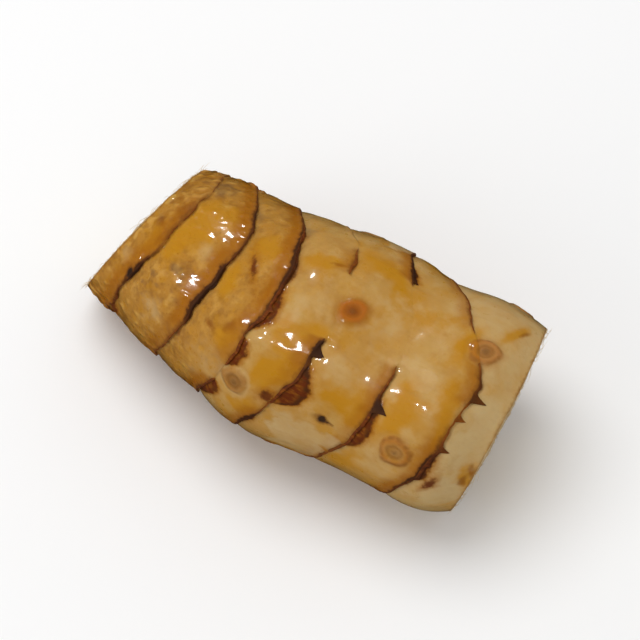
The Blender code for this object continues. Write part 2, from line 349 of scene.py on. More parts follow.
DARK_SPOTS = (
    (45.8, 154.4, 0.85, 0.72, 0, 0.2), (47.1, 154.6, 0.85, 0.12, 5, 0.5), (4.9, 140.5, 0.6, 0.95),
)
HAZY_STAINS = (
    (9.2, 130, 1.1, 0.6, 20), (8.2, 139, 0.8, 0.6), (10.8, 135, 0.7, 0.5), (15.8, 137, 1.3, 1.3, -30),
    (12.6, 121, 2, 0.7, 10), (8.3, 88, 1.3, 1.4), (5.3, 99, 0.9, 0.8), (18, 62, 2.2, 2), (27, 60, 1.6, 2),
    (10, 58, 3, 3), (17.2, 152, 0.9, 1.2), (13, 215, 2, 3), (21, 285, 2, 3), (8, 330, 2, 3),
)
GOLDEN_STAINS = (
    (36.5, 118, 4.6, 3.2, -15), (38.2, 128, 2.6, 2.4), (33.6, 76, 4, 1.6, -14), (42.2, 63.5, 4.2, 1.7, 2),
    (46.4, 71, 1.6, 2.8, -25), (50.3, 141, 3.2, 3.4, -5), (45.8, 140, 2, 1.5), (57.6, 127, 3.4, 3.6, -10),
    (56.6, 139, 1.8, 2.6), (64, 126, 1, 6), (49, 181, 3, 2.6), (52, 174, 1.6, 2.4), (33, 166, 2.4, 2.6),
    (34.4, 145.5, 2.2, 2.6, -10), (36, 139, 1.8, 2), (21.5, 108, 1.6, 3.4), (9.5, 112, 1.8, 3),
    (60.2, 84, 1.6, 4), (62.4, 113, 1.6, 3.2), (64.7, 63, 1, 3.6, 10), (69.5, 153.5, 1.1, 3.6, -12),
    (12, 98, 3.4, 4.2), (13.5, 80, 4.4, 2.6), (24.5, 82, 3.4, 3), (26.5, 133, 2.2, 3), (6, 112, 1.6, 4),
    (40, 205, 5, 3), (30, 225, 3, 5), (52, 245, 4, 4), (38, 290, 4, 5), (55, 325, 3, 5), (48, 25, 5, 3),
)
RUSTY_STAINS = (
    (37.4, 71, 0.6, 1.6, -25), (36, 75, 1.8, 0.5, -14), (69.8, 150.5, 0.45, 2.2, -18),
    (69.1, 158.5, 0.45, 1.3, 15), (65.2, 164.5, 0.75, 1.9, 25), (64.6, 169, 0.6, 0.9),
    (69.2, 160.5, 0.5, 1), (65.7, 58.5, 0.5, 1.5, 10), (8.1, 88.5, 1.2, 2), (7.9, 90, 1, 2.6),
    (5.4, 100, 1.3, 1.6), (7.2, 109, 0.8, 3, 20), (27.8, 76, 1, 2.6, -20), (29, 96, 0.9, 4),
    (27.4, 66, 1.2, 1.8), (22.9, 135, 1.6, 0.75, 15), (26.3, 128, 1.8, 1.2, -10), (17.4, 151, 0.9, 1),
    (27, 320, 2, 3), (56, 285, 1.5, 3),
)

# Outlines wander by a share of the patch's smaller half size, in two sizes of waves
MARK_UNEVEN = 0.38
SPOT_UNEVEN = 0.12
WANDER_SIZES = ((3.4, 1.0), (1.3, 0.6))
uneven_along, uneven_round = (
    sum(share * clouds(smooth_skin, size, seed + i) for i, (size, share) in enumerate(WANDER_SIZES))
    for seed in (11, 13)
)


def mark_places(mark, uneven=MARK_UNEVEN):
    """Places round a mark, in shares of its half length and half width. Its outline is uneven."""
    centre, centre_turn, half_length, half_width, lean, narrowing = (*mark, 0.0, 0.0)[:6]
    wander = uneven * min(half_length, half_width)
    forward = along - centre + wander * uneven_along
    round_stem = np.radians(turn_gap(turn, centre_turn)) * half_widths + wander * uneven_round
    leaning = math.radians(lean)
    u = (forward * math.cos(leaning) + round_stem * math.sin(leaning)) / half_length
    v = (round_stem * math.cos(leaning) - forward * math.sin(leaning)) / half_width
    return u, v / np.clip(1 - narrowing * u, 0.2, 2.0)


def gap_to(marks, uneven=MARK_UNEVEN):
    """How far each place of the skin is outside the nearest of these marks, in millimetres."""
    gap = np.full(along.shape, FAR_OFF)
    for mark in marks:
        share = np.hypot(*mark_places(mark, uneven))
        gap = np.minimum(gap, (share - 1) * min(mark[2], mark[3]))
    return gap


def strength_of(stains):
    """How strongly these stains colour each place of the skin, from 0 to 1."""
    clear = np.ones(along.shape)
    for stain in stains:
        clear *= 1 - np.exp(-np.square(np.hypot(*mark_places(stain))))
    return 1 - clear


peeled_gap = gap_to(PEELED)
remnant_gap = gap_to(SCALE_REMNANTS)
spot_gap = gap_to(DARK_SPOTS, uneven=SPOT_UNEVEN)

# Root scars: along, turn, radius, how filled with rust the disc is, and how pale its rim is
ROOT_SCARS = (
    (42.3, 96.9, 2.3, 1, 0), (63.1, 83.2, 2.4, 0.35, 0.1), (58.6, 151.8, 2.7, 0.1, 0.15),
    (30.6, 154.3, 2.5, 0.1, 0.8), (8, 222, 1.8, 0.4, 0.3), (17.5, 255, 2.4, 0.2, 0.7),
    (16, 322, 2, 0.7, 0.1), (25.5, 224, 2.2, 0.1, 0.8), (25, 292, 2.6, 0.5, 0.3), (34.5, 246, 2.3, 0.9, 0),
    (36, 318, 2.5, 0.1, 0.6), (46.5, 225, 2.5, 0.3, 0.5), (49, 288, 2.2, 0, 0.9), (52, 340, 2.6, 0.6, 0.2),
    (57.5, 262, 2.4, 0.2, 0.6), (61, 20, 2.3, 0.8, 0), (34, 20, 2.4, 0.1, 0.7), (12.5, 25, 1.9, 0.4, 0.4),
)
# A scar's relief: height, place and width of its rim, nub, pit and moat, in shares of its radius
SCAR_RELIEF = ((0.24, 0.74, 0.20), (0.26, 0.0, 0.24), (-0.12, 0.0, 0.09), (-0.10, 1.16, 0.14))
SCAR_OVAL = 0.92
SCAR_UNEVEN = 0.14
scar_share = np.full(along.shape, FAR_OFF)
scar_rust, scar_pale = np.zeros(along.shape), np.zeros(along.shape)
for place, centre_turn, radius, rust, pale in ROOT_SCARS:
    share = np.hypot(*mark_places((place, centre_turn, radius, radius * SCAR_OVAL), uneven=0.0))
    nearer = share < scar_share
    scar_share = np.where(nearer, share, scar_share)
    scar_rust, scar_pale = np.where(nearer, rust, scar_rust), np.where(nearer, pale, scar_pale)
scar_share = scar_share * (1 + SCAR_UNEVEN * clouds(smooth_skin, 2.4, 8))

# The older, left end has a darker, golden-brown and bumpier skin, and the last band is paler. The look
# changes at ring scars. For each band from left to right: how golden brown, how pale and how bumpy it is.
BAND_LOOKS = np.array((
    (0.95, 0, 1.1), (1, 0, 0.6), (0.8, 0, 0.3), (0.22, 0, 0.05), (0.16, 0, 0), (0.1, 0, 0), (0, 0.45, 0.05),
))
CHANGE_BEHIND = 0.15
ring_lines = np.stack([ring_place(number, turns) for number in range(len(RINGS))])
bands = (along[None] > ring_lines[:, None] + CHANGE_BEHIND).sum(axis=0)
golden_brown, paleness, bumpiness = BAND_LOOKS.T[:, bands]

# Relief finer than the solid's, in millimetres: soft lumps, lengthwise wrinkles, bumps on the older end,
# small dents, and marks that stand out of the skin or lie in it. Each has its size, then its rise. Bumps and
# dents have the level of the noise where they start too. A mark has its rise, and how far inside its outline
# it is at its full height.
LUMPS = ((9.0, 0.12), (4.2, 0.07), (1.9, 0.022))
WRINKLES = (0.9, 0.006)
WRINKLE_STRETCH = 0.1
BUMPS = (1.25, 0.28, 0.08)
DENTS = (2.6, -0.12, 0.55)
PEELED_RELIEF = (-0.09, 0.15)
REMNANT_RELIEF = (0.16, 0.15)
SPOT_RELIEF = (-0.15, 0.3)
EDGE_SOFTNESS = 0.15


def lumps_at(points):
    """Relief of the soft lumps."""
    return sum(rise * clouds(points, size, i + 1) for i, (size, rise) in enumerate(LUMPS))


lengthwise = smooth_skin * np.array((WRINKLE_STRETCH, 1.0, 1.0))
relief = relief + lumps_at(smooth_skin) + WRINKLES[1] * clouds(lengthwise, WRINKLES[0], 3)
bumps, dents = (
    np.clip(clouds(smooth_skin, size, seed) - level, 0.0, 1.0)
    for seed, (size, _, level) in ((4, BUMPS), (5, DENTS))
)
bumps = bumps * bumpiness
relief = relief + BUMPS[1] * bumps + DENTS[1] * dents
mark_gaps = (peeled_gap, remnant_gap, spot_gap)
for gap, (rise, full_inside) in zip(mark_gaps, (PEELED_RELIEF, REMNANT_RELIEF, SPOT_RELIEF)):
    relief = relief + rise * fade(-gap, -EDGE_SOFTNESS, full_inside)
for rise, place, width in SCAR_RELIEF:
    relief = relief + rise * hump(scar_share - place, width)
skin = skin_points(along, turn, relief)


# The two cut ends. A knife left pale, fibrous flesh: a firm core full of fine bundles, a thin brown line
# round it, and a softer outer layer that dries and sinks a little inside the rim of the skin.
CORE_EDGE = 0.74
CORE_LINE_RISE = 0.07
CORE_LINE_WIDTH = 0.02
OUTER_SINK = 0.16
OUTER_SINK_STARTS = 0.06
OUTER_SINK_ENDS = (0.93, 0.985)
# Size and rise of the knife's marks, and of the flesh's lumps and fuzz
KNIFE_MARKS = (1.1, 0.05)
KNIFE_TURN = math.radians(35.0)
FLESH_LUMPS = (3.5, 0.16)
FUZZ = (0.9, 0.07)
LEVEL_RIM = 0.1
SHARP_EDGE = math.radians(55.0)


def cut_normal(cut, side):
    """The way a cut end faces: side is -1 for the left cut and 1 for the right one."""
    place, lean, lean_turn = cut
    slope = lean / curve_through(1, np.array(place))
    angle = math.radians(lean_turn)
    normal = np.array((side, -side * slope * math.cos(angle), -side * slope * math.sin(angle)))
    return normal / np.linalg.norm(normal)


def cut_face(rim, cut, side):
    """Rows of points across a cut end, from its rim inwards, then its middle."""
    middle, outward = rim.mean(axis=0), cut_normal(cut, side)
    shares = np.array(CUT_ROWS)[:, None]
    places = middle + shares[..., None] * (rim - middle)
    knife_way = np.cross(outward, (0.0, math.cos(KNIFE_TURN), math.sin(KNIFE_TURN)))
    across_marks = (places @ knife_way)[..., None] * knife_way
    sunk = OUTER_SINK * fade(shares, CORE_EDGE, CORE_EDGE + OUTER_SINK_STARTS)
    rise = CUT_DOME * (1 - shares**2) + CORE_LINE_RISE * hump(shares - CORE_EDGE, CORE_LINE_WIDTH)
    rise = rise - sunk * (1 - fade(shares, *OUTER_SINK_ENDS))
    rise = rise + KNIFE_MARKS[1] * clouds(across_marks, KNIFE_MARKS[0], 6)
    for seed, (size, lift) in ((7, FLESH_LUMPS), (9, FUZZ)):
        rise = rise + lift * clouds(places, size, seed) * fade(1 - shares, 0.0, LEVEL_RIM)
    return places + rise[..., None] * outward, middle + CUT_DOME * outward


def joining_faces(row_a, row_b, sides=SIDES):
    """Four-sided faces between two closed rows of points."""
    return [(row_a + i, row_a + (i + 1) % sides, row_b + (i + 1) % sides, row_b + i) for i in range(sides)]


def ring_faces(first_row, rows):
    """Four-sided faces between rows of points that follow each other."""
    starts = [first_row + SIDES * i for i in range(rows)]
    return [face for pair in zip(starts, starts[1:]) for face in joining_faces(*pair)]


def turned_over(faces):
    return [face[::-1] for face in faces]


def in_scene(name, data):
    """A new object in the scene."""
    made = bpy.data.objects.new(name, data)
    bpy.context.scene.collection.objects.link(made)
    return made


def in_frame(points):
    """Points of the tables' frame, in metres in the part's frame, none below what the rhizome rests on."""
    moved = (points - ORIGIN) * MM
    moved[..., 2] = np.maximum(moved[..., 2], 0.0)
    return moved


def mesh_object(name, points, faces, values):
    """A smooth-shaded piece in the part's frame, with the numbers that its material reads at each point."""
    data = bpy.data.meshes.new(name)
    data.from_pydata(in_frame(points).tolist(), [], faces)
    data.validate()
    data.shade_smooth()
    for value_name, numbers in values.items():
        layer = data.attributes.new(value_name, "FLOAT", "POINT")
        layer.data.foreach_set("value", np.asarray(numbers, np.float32).ravel())
    return in_scene(name, data)


skin_count, cut_count = len(skin) * SIDES, len(CUT_ROWS) * SIDES
ends = [cut_face(skin[0], LEFT_CUT, -1), cut_face(skin[-1], RIGHT_CUT, 1)]
skin_faces = turned_over(ring_faces(0, len(skin)))
flesh_faces = []
for end, rim_row in enumerate((0, skin_count - SIDES)):
    first_row, middle = skin_count + end * cut_count, skin_count + 2 * cut_count + end
    last_row = first_row + cut_count - SIDES
    faces = joining_faces(rim_row, first_row) + ring_faces(first_row, len(CUT_ROWS))
    faces += [(last_row + i, last_row + (i + 1) % SIDES, middle) for i in range(SIDES)]
    flesh_faces += turned_over(faces) if end else faces
points = np.concatenate((
    skin.reshape(-1, 3), *(rows.reshape(-1, 3) for rows, _ in ends), *(middle[None] for _, middle in ends),
))

# What the materials read at each point: the numbers of the skin, which the flesh has no use for, then how
# far out a place of the flesh is and which way
RING_NUMBERS = ("ahead", "behind", "ahead_strength", "behind_strength", "leaf_reach", "leaf_rust")
skin_numbers = dict(
    zip(RING_NUMBERS, skin_values[3:]), golden_brown=golden_brown, paleness=paleness, bumps=bumps,
    peeled_gap=peeled_gap, remnant_gap=remnant_gap, spot_gap=spot_gap, golden=strength_of(GOLDEN_STAINS),
    rusty=strength_of(RUSTY_STAINS), hazy=strength_of(HAZY_STAINS), faded=strength_of(PALE_STAINS),
    scar_share=scar_share, scar_rust=scar_rust, scar_pale=scar_pale,
    rim_gap=np.minimum(along - cut_place(LEFT_CUT, turn), cut_place(RIGHT_CUT, turn) - along),
)
beyond_skin = np.zeros(2 * cut_count + 2)
numbers = {name: np.concatenate((values.ravel(), beyond_skin)) for name, values in skin_numbers.items()}
cut_shares = np.repeat(np.array(CUT_ROWS), SIDES)
numbers["cut_share"] = np.concatenate((np.ones(skin_count), cut_shares, cut_shares, (0.0, 0.0)))
for name, way in (("ray_y", np.cos(np.radians(turns))), ("ray_z", np.sin(np.radians(turns)))):
    numbers[name] = np.concatenate((np.tile(way, len(skin) + 2 * len(CUT_ROWS)), (0.0, 0.0)))
body = mesh_object("rhizome_body", points, skin_faces + flesh_faces, numbers)
body.data.set_sharp_from_angle(angle=SHARP_EDGE)
# The body's first material is the skin's and its second the flesh's
for face in body.data.polygons[len(skin_faces):]:
    face.material_index = 1


class Shade:
    """A socket of a material's nodes. Arithmetic on it adds Math nodes."""

    def __init__(self, tree, socket=None):
        self.tree = tree
        self.socket = socket

    def node(self, kind, settings=(), values=(), out=0):
        """A new node, with its settings made first, then the values or links of its sockets."""
        made = self.tree.nodes.new(kind)
        for name, setting in dict(settings).items():
            setattr(made, name, setting)
        for name, value in dict(values).items():
            if isinstance(value, Shade):
                self.tree.links.new(value.socket, made.inputs[name])
            else:
                made.inputs[name].default_value = value
        return Shade(self.tree, made.outputs[out])

    def maths(self, operation, *others):
        return self.node("ShaderNodeMath", {"operation": operation}, dict(enumerate((self, *others))))

    def __add__(self, other):
        return self.maths("ADD", other)

    __radd__ = __add__

    def __sub__(self, other):
        return self.maths("SUBTRACT", other)

    def __rsub__(self, other):
        return (self * -1.0) + other

    def __mul__(self, other):
        return self.maths("MULTIPLY", other)

    __rmul__ = __mul__

    def fade(self, start, end):
        """0 before start, 1 past end, and smooth between them."""
        limits = {"Value": self, "From Min": start, "From Max": end}
        return self.node("ShaderNodeMapRange", {"interpolation_type": "SMOOTHSTEP"}, limits)

    def fall(self, start, end):
        """1 before start, 0 past end, and smooth between them."""
        return 1.0 - self.fade(start, end)

    def hump(self, centre, width):
        """1 at the centre, falling smoothly to 0 at that width from it."""
        return (self - centre).maths("ABSOLUTE").fall(0.0, width)

    def stretched(self, ways):
        """A place, with each of its directions multiplied."""
        return self.node("ShaderNodeVectorMath", {"operation": "MULTIPLY"}, {0: self, 1: ways})

    def grain(self, size, detail, seed):
        """Irregular noise of that size at this place, from 0 to 1."""
        values = {"Vector": self, "W": seed, "Scale": 1.0 / size, "Detail": detail}
        return self.node("ShaderNodeTexNoise", {"noise_dimensions": "4D"}, values)

    def bump(self):
        """The way the surface faces, tilted by this height in millimetres."""
        return self.node("ShaderNodeBump", (), {"Strength": 1.0, "Distance": MM, "Height": self})

    def value(self, name):
        """A number kept for each point of the mesh, by name."""
        return self.node("ShaderNodeAttribute", {"attribute_name": name}, out="Fac")

    def place(self):
        """The place on the piece, in millimetres."""
        return self.node("ShaderNodeTexCoord", out="Object").stretched((1 / MM, 1 / MM, 1 / MM))

    def blend(self, first, second, share, way="MIX"):
        """The first colour, mixed with the second as far as share says."""
        first, second = (c if isinstance(c, Shade) else (*c, 1.0) for c in (first, second))
        settings = {"data_type": "RGBA", "blend_type": way}
        return self.node("ShaderNodeMix", settings, {0: share, 6: first, 7: second}, out=2)

    def painted(self, *coats, way="MIX"):
        """This colour under coats of paint, from the lowest: each one's colour, and how far it covers."""
        result = self
        for colour, cover in coats:
            result = result.blend(result, colour, cover, way)
        return result


def new_material(name, piece, constants):
    """A material on the piece, with constants on its shader: a first shade to build on, and the shader."""
    material = bpy.data.materials.new(name)
    material.use_nodes = True
    piece.data.materials.append(material)
    shader = material.node_tree.nodes["Principled BSDF"]
    for socket, value in constants.items():
        shader.inputs[socket].default_value = value
    return Shade(material.node_tree), shader


def feed(shader, shades):
    """Link what varies over the surface to the shader's sockets."""
    for socket, shade in shades.items():
        shade.tree.links.new(shade.socket, shader.inputs[socket])


# The skin's finish: thin, waxy, yellow-tan and slightly translucent, golden brown on the older end, stained
# amber before each ring scar, with a dark brown line at the margin and painted shade in the hollow behind
# it, and bare paler skin where it has peeled.
TAN = (0.49, 0.258, 0.058)
SAND = (0.5, 0.292, 0.082)
OCHRE = (0.43, 0.2, 0.03)
LIGHT_OCHRE = (0.58, 0.32, 0.07)
DEEP_BROWN = (0.23, 0.09, 0.014)
HAZE_BROWN = (0.19, 0.1, 0.04)
STRAW = (0.56, 0.365, 0.145)
PALE_SKIN = (0.56, 0.405, 0.195)
GOLDEN = (0.48, 0.212, 0.009)
AMBER = (0.34, 0.115, 0.004)
RUST = (0.19, 0.042, 0.002)
ORANGE_RUST = (0.42, 0.115, 0.01)
SCALE_LEAF = (0.12, 0.02, 0.0004)
LINE_BROWN = (0.17, 0.052, 0.004)
# Dark margin brown, also used as painted shade in the hollow just behind each step
MARGIN_BROWN_AND_HOLLOW_SHADE = (0.062, 0.018, 0.003)
NEAR_BLACK = (0.025, 0.013, 0.008)
SCAR_RING = (0.24, 0.095, 0.015)
SCAR_CENTRE = (0.18, 0.085, 0.025)
FIBRE_TINT = (0.84, 0.78, 0.66)
SPECK_TINT = (0.62, 0.48, 0.32)

base, shader = new_material("waxy_skin", body, {
    "Coat Roughness": 0.08, "Coat IOR": 1.45, "IOR": 1.42, "Specular IOR Level": 0.15,
    "Subsurface Weight": 0.16, "Subsurface Radius": (1.0, 0.5, 0.18), "Subsurface Scale": 0.0022,
})
place = base.place()
kept = {name: base.value(name) for name in skin_numbers}
ahead_of, behind_of, older = kept["ahead"], kept["behind"], kept["golden_brown"]
ahead_line, behind_line = kept["ahead_strength"], kept["behind_strength"]

# Noise in several sizes. A wave is the same noise, but about 0.
broad, mid, fine = place.grain(13, 2, 1), place.grain(4, 3, 2), place.grain(1.1, 3, 3)
mid_wave, fine_wave, edge_wave = mid - 0.5, fine - 0.5, place.grain(0.7, 4, 4) - 0.5
fibres = place.stretched((0.12, 1, 1)).grain(0.75, 3, 5)
speckle = place.grain(0.35, 2, 6)
streaks = place.stretched((0.25, 1, 1)).grain(0.6, 3, 9)

# The skin's own colour, then its stains
stained = (kept["golden"] + mid_wave * 0.7 + fine_wave * 0.3).fade(0.08, 0.8)
bleached = (kept["faded"] * 0.7 + mid_wave * 1.6 + fine_wave * 0.6).fade(0.1, 1)
hazed = (kept["hazy"] + fine_wave * 0.8 + mid_wave * 0.3).fade(0.25, 1)
rusted = (kept["rusty"] + fine_wave * 0.7).fade(0.25, 0.95)
colour = base.blend(TAN, SAND, broad.fade(0.35, 0.65)).painted(
    (GOLDEN, place.grain(5, 4, 15).fade(0.46, 0.64) * 0.6),
    (AMBER, place.grain(2.2, 4, 16).fade(0.52, 0.72) * 0.22),
    (STRAW, place.grain(3.4, 4, 23).fade(0.5, 0.68) * 0.45),
    (OCHRE, (older + mid_wave * 0.5).fade(0.05, 0.95)),
    (LIGHT_OCHRE, place.grain(2.4, 4, 17).fade(0.5, 0.68) * older * 0.6),
    (DEEP_BROWN, (mid * 0.45 + fine * 0.55).fade(0.44, 0.64) * older * 0.74),
    (GOLDEN, place.grain(1.6, 3, 7).fade(0.52, 0.68) * older * 0.5),
    (LIGHT_OCHRE, kept["bumps"].fade(0.06, 0.6) * 0.72),
    (PALE_SKIN, (kept["paleness"] + mid_wave * 0.6).fade(0.1, 0.9)),
    (GOLDEN, stained * (mid * 0.5 + 0.65)),
    (STRAW, bleached * kept["faded"].fade(0, 0.35) * 0.75),
    (HAZE_BROWN, hazed * 0.6),
    (RUST, rusted * 0.6),
)

# Amber seeps back from each margin, and the skin is a little paler just behind it
amber_reach = mid_wave * 3.4 + fine_wave + older * 0.9 + 2.3
seep = (amber_reach - ahead_of).fade(-1, 1.6) * ahead_line.fade(0.15, 0.7)
behind_strip = (2.2 - behind_of + mid_wave * 2).fade(0, 2) * behind_line.fade(0.2, 0.8)
colour = colour.painted((AMBER, seep * 0.88), (STRAW, behind_strip * 0.3 * (1 - older * 0.8)))

# Peeled places are paler and duller
peel = kept["peeled_gap"] * -1 + edge_wave * 0.9 + mid_wave * 1.8 + fine_wave * 0.6
peeled = peel.fade(-0.45, 0.75)
colour = colour.painted((PALE_SKIN, peeled * (place.grain(3, 3, 18) * 0.9 + 0.05)))

# Root scars: rings round a nub
scar = kept["scar_share"] + (place.grain(1.4, 3, 8) - 0.5) * 0.35
rust_of, pale_of = kept["scar_rust"], kept["scar_pale"]
broken = place.grain(1.3, 2, 19).fade(0.3, 0.6)
outer_ring = scar.hump(0.92, 0.24) * (broken * 0.75 + 0.15) * (1 - rust_of * 0.9)
colour = colour.painted(
    (AMBER, scar.fall(0.7, 1.7) * (rust_of * 0.55 + 0.2)),
    (ORANGE_RUST, scar.fall(0.55, 1.15) * rust_of * 0.8),
    (STRAW, scar.hump(1.12, 0.3) * pale_of * 0.5),
    (SCAR_RING, scar.fall(0.45, 1.05) * pale_of * 0.8),
    (ORANGE_RUST, scar.hump(0.84, 0.36) * (1 - rust_of) * (1 - pale_of) * 0.52),
    (SCAR_RING, outer_ring * (1 - pale_of * 0.7)),
    (SCAR_RING, scar.hump(0.45, 0.2) * (0.6 - rust_of * 0.4)),
    (RUST, scar.fall(0.15, 0.6) * rust_of * 0.7),
    (SCAR_CENTRE, scar.fall(0.05, 0.42) * (0.75 - rust_of * 0.35)),
)

# Fibres and specks show through
colour = colour.painted(
    (FIBRE_TINT, fibres.fade(0.48, 0.75) * 0.3),
    (SPECK_TINT, speckle.fade(0.64, 0.76) * (older * 0.6 + 0.1)),
    way="MULTIPLY",
)

# The dark line of each margin, soft and brown at its sides, and painted shade in the hollow just behind the
# step
line_noise = edge_wave * 0.6 + fine_wave * 1.1 + mid_wave * 0.9
line_gap = ahead_of - line_noise - ahead_line.fade(0.6, 1) * 0.32 + 0.05
shaded_hollow_gap = behind_of - (edge_wave * 0.5 + fine_wave * 0.8) - behind_line.fade(0.7, 1) * 0.15
behind_seen = behind_line.fade(0.1, 0.5)
colour = colour.painted(
    (LINE_BROWN, line_gap.fall(-0.1, 1) * ahead_line.fade(0.1, 0.5) * 0.85),
    (LINE_BROWN, shaded_hollow_gap.fall(-0.1, 0.8) * behind_seen * 0.8),
    (MARGIN_BROWN_AND_HOLLOW_SHADE, line_gap.fall(0, 0.42) * ahead_line.fade(0.45, 0.9)),
    # Painted shade: the hollow just behind the step is painted dark brown, over the real brown halo above
    (MARGIN_BROWN_AND_HOLLOW_SHADE, shaded_hollow_gap.fall(0.1, 0.46) * behind_line.fade(0.45, 0.9)),
)

# What is left of each scale leaf: amber round it, rusty where it is thin, and dark where it is thick
leaf_gap = kept["leaf_reach"] - behind_of + edge_wave * 0.9 + fine_wave * 1.1 + mid_wave * 0.8
leaf_left = kept["leaf_reach"].fade(0.35, 0.9)
leaf = leaf_gap.fade(-0.3, 0.35) * leaf_left
far_edge = leaf_gap.fall(0.2, 1.9)
leaf_dark = mid_wave * 1.8 + (streaks - 0.5) * 1.6 + fine_wave * 0.8
leaf_dark = leaf_dark - kept["leaf_rust"] * 0.8 + far_edge * 0.45 + 0.66
leaf_thin = leaf * streaks.fade(0.42, 0.66) * kept["leaf_rust"].fade(0.3, 0.9)
colour = colour.painted(
    (AMBER, leaf_gap.fade(-1.2, 0.1) * leaf_left * 0.9),
    (SCALE_LEAF, leaf),
    (AMBER, leaf_thin * (0.62 - far_edge * 0.35)),
    (MARGIN_BROWN_AND_HOLLOW_SHADE, leaf * leaf_dark.fade(0.05, 0.7) * 0.88),
)

# Scale remnants, dark spots, and the dried edge of the skin at a cut
remnant = kept["remnant_gap"] * -1 + edge_wave * 0.9 + fine_wave
remnant_cover = remnant.fade(-0.3, 0.25)
spot = kept["spot_gap"] * -1 + edge_wave * 0.5
colour = colour.painted(
    (AMBER, remnant.fade(-1.1, 0) * 0.6),
    (SCALE_LEAF, remnant_cover * 0.88),
    (MARGIN_BROWN_AND_HOLLOW_SHADE, remnant_cover * streaks.fade(0.45, 0.72) * 0.5),
    (LINE_BROWN, spot.fade(-0.45, 0.05) * 0.7),
    (NEAR_BLACK, spot.fade(-0.1, 0.22) * 0.92),
    (SCAR_RING, (0.45 + edge_wave * 0.9 - kept["rim_gap"]).fade(0, 0.55) * 0.7),
)

# Papery and dark places have no wax, and peeled ones have less
lined = line_gap.fall(0.3, 1.2) * ahead_line.fade(0.05, 0.35) + shaded_hollow_gap.fall(0.2, 1) * behind_seen
marked = remnant_cover
for other in (leaf, spot.fade(-0.2, 0.1), lined):
    marked = marked.maths("MAXIMUM", other)
marked = marked.maths("MINIMUM", 1)
height = fibres * 0.014 + fine * 0.035 + speckle * 0.014 + place.grain(2.2, 2, 10) * 0.06
height = height + place.grain(0.75, 2, 22) * older * 0.06
height = height + remnant_cover * streaks * 0.06 - peeled * 0.02
feed(shader, {
    "Base Color": colour,
    "Roughness": fine_wave * 0.2 + 0.3 + peeled * 0.12 + marked * 0.25,
    "Coat Weight": (older * 0.15 + 0.75 - peeled * 0.2) * (1 - marked),
    "Normal": height.bump(),
})

# The flesh's finish at the cut ends: cream, dry and fibrous, with fine bundles and a few brown specks
CREAM = (0.69, 0.525, 0.29)
CREAM_DEEP = (0.59, 0.4, 0.165)
OUTER_FLESH = (0.64, 0.47, 0.22)
FLESH_LINE = (0.34, 0.18, 0.05)
FLESH_SPECK = (0.24, 0.12, 0.04)
FLESH_EDGE = (0.43, 0.225, 0.055)
FIBRE_PALE = (0.78, 0.67, 0.47)
BUNDLE_SIZE = 1.15

base, shader = new_material("cut_flesh", body, {
    "Subsurface Weight": 0.25, "Subsurface Radius": (1, 0.7, 0.4), "Subsurface Scale": 0.002,
})
place = base.place()
mid, fine = place.grain(3.2, 3, 11), place.grain(0.45, 4, 12)
mid_wave, fine_wave = mid - 0.5, fine - 0.5
cells = {"Vector": place, "Scale": 1 / BUNDLE_SIZE, "Randomness": 1}
bundles = base.node("ShaderNodeTexVoronoi", (), cells, out="Distance")
bundle_dots = (bundles + mid_wave * 0.7 + fine_wave * 0.25).fall(0.06, 0.28)
share = base.value("cut_share") + (place.grain(2.4, 3, 13) - 0.5) * 0.06
way_out = {0: base.value("ray_y"), 1: base.value("ray_z"), 2: share * 0.35}
rays = base.node("ShaderNodeCombineXYZ", (), way_out).grain(0.085, 3, 24)
fuzz = place.stretched((1, 0.35, 1)).grain(0.3, 4, 25)
colour = base.blend(CREAM, CREAM_DEEP, mid.fade(0.35, 0.7)).painted(
    (OUTER_FLESH, share.fade(CORE_EDGE - 0.02, CORE_EDGE + 0.03) * 0.85),
    (CREAM_DEEP, rays.fade(0.46, 0.6) * share.fade(0.2, 0.7) * 0.8),
    (FLESH_LINE, share.hump(CORE_EDGE, 0.035) * (rays * 0.9 + 0.2)),
    (FLESH_LINE, bundle_dots * 0.42),
    (FIBRE_PALE, fuzz.fade(0.5, 0.68) * 0.5),
    (FIBRE_PALE, fine.fade(0.54, 0.72) * 0.35),
    (FLESH_EDGE, (share + mid_wave * 0.2 + fine_wave * 0.1).fade(0.84, 1) * 0.8),
    (FLESH_SPECK, place.grain(0.8, 2, 14).fade(0.7, 0.76) * 0.6),
    (FLESH_LINE, (share + fine_wave * 0.03).fade(0.955, 0.995) * 0.75),
)
height = fine * 0.12 + mid * 0.14 + fuzz * 0.12 + rays * 0.16 - bundle_dots * 0.06
feed(shader, {"Base Color": colour, "Roughness": fine_wave * 0.3 + 0.56, "Normal": height.bump()})

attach(body, "root")
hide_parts("rhizome")


# The scale margins. Each node of the stem carried a papery brown scale leaf, of which a thin, torn edge is
# left. It grows out of the skin just before the step and lies over it, in saw teeth that grow slowly with
# the turn and end at once. Where a margin is quite worn away, its edge is sunk in the skin.
EDGE_SIDES = 800
EDGE_ROOT = 0.30
EDGE_ROOT_SINK = 0.06
EDGE_RISE = 0.03
EDGE_THICKNESS = 0.08
EDGE_TAPER = 0.4
EDGE_LEAST = 0.06
LONGEST_EDGE = 0.45
EDGE_CLEARANCE = 0.05
EDGE_LIES_AFTER = 0.25
# A margin is sunk this far below the first of these strengths, and not at all from the second on
EDGE_HIDDEN_SINK = 0.30
EDGE_SHOWS = (0.08, 0.35)
# Where it bridges the foot of the step: how much higher, and how far to each side
EDGE_BRIDGE = (0.18, 0.5)
# A margin is as dark as this where much of its scale leaf is left, which is from this reach on
LEAF_DARKENS = 0.85
LEAF_LARGE = 1.2
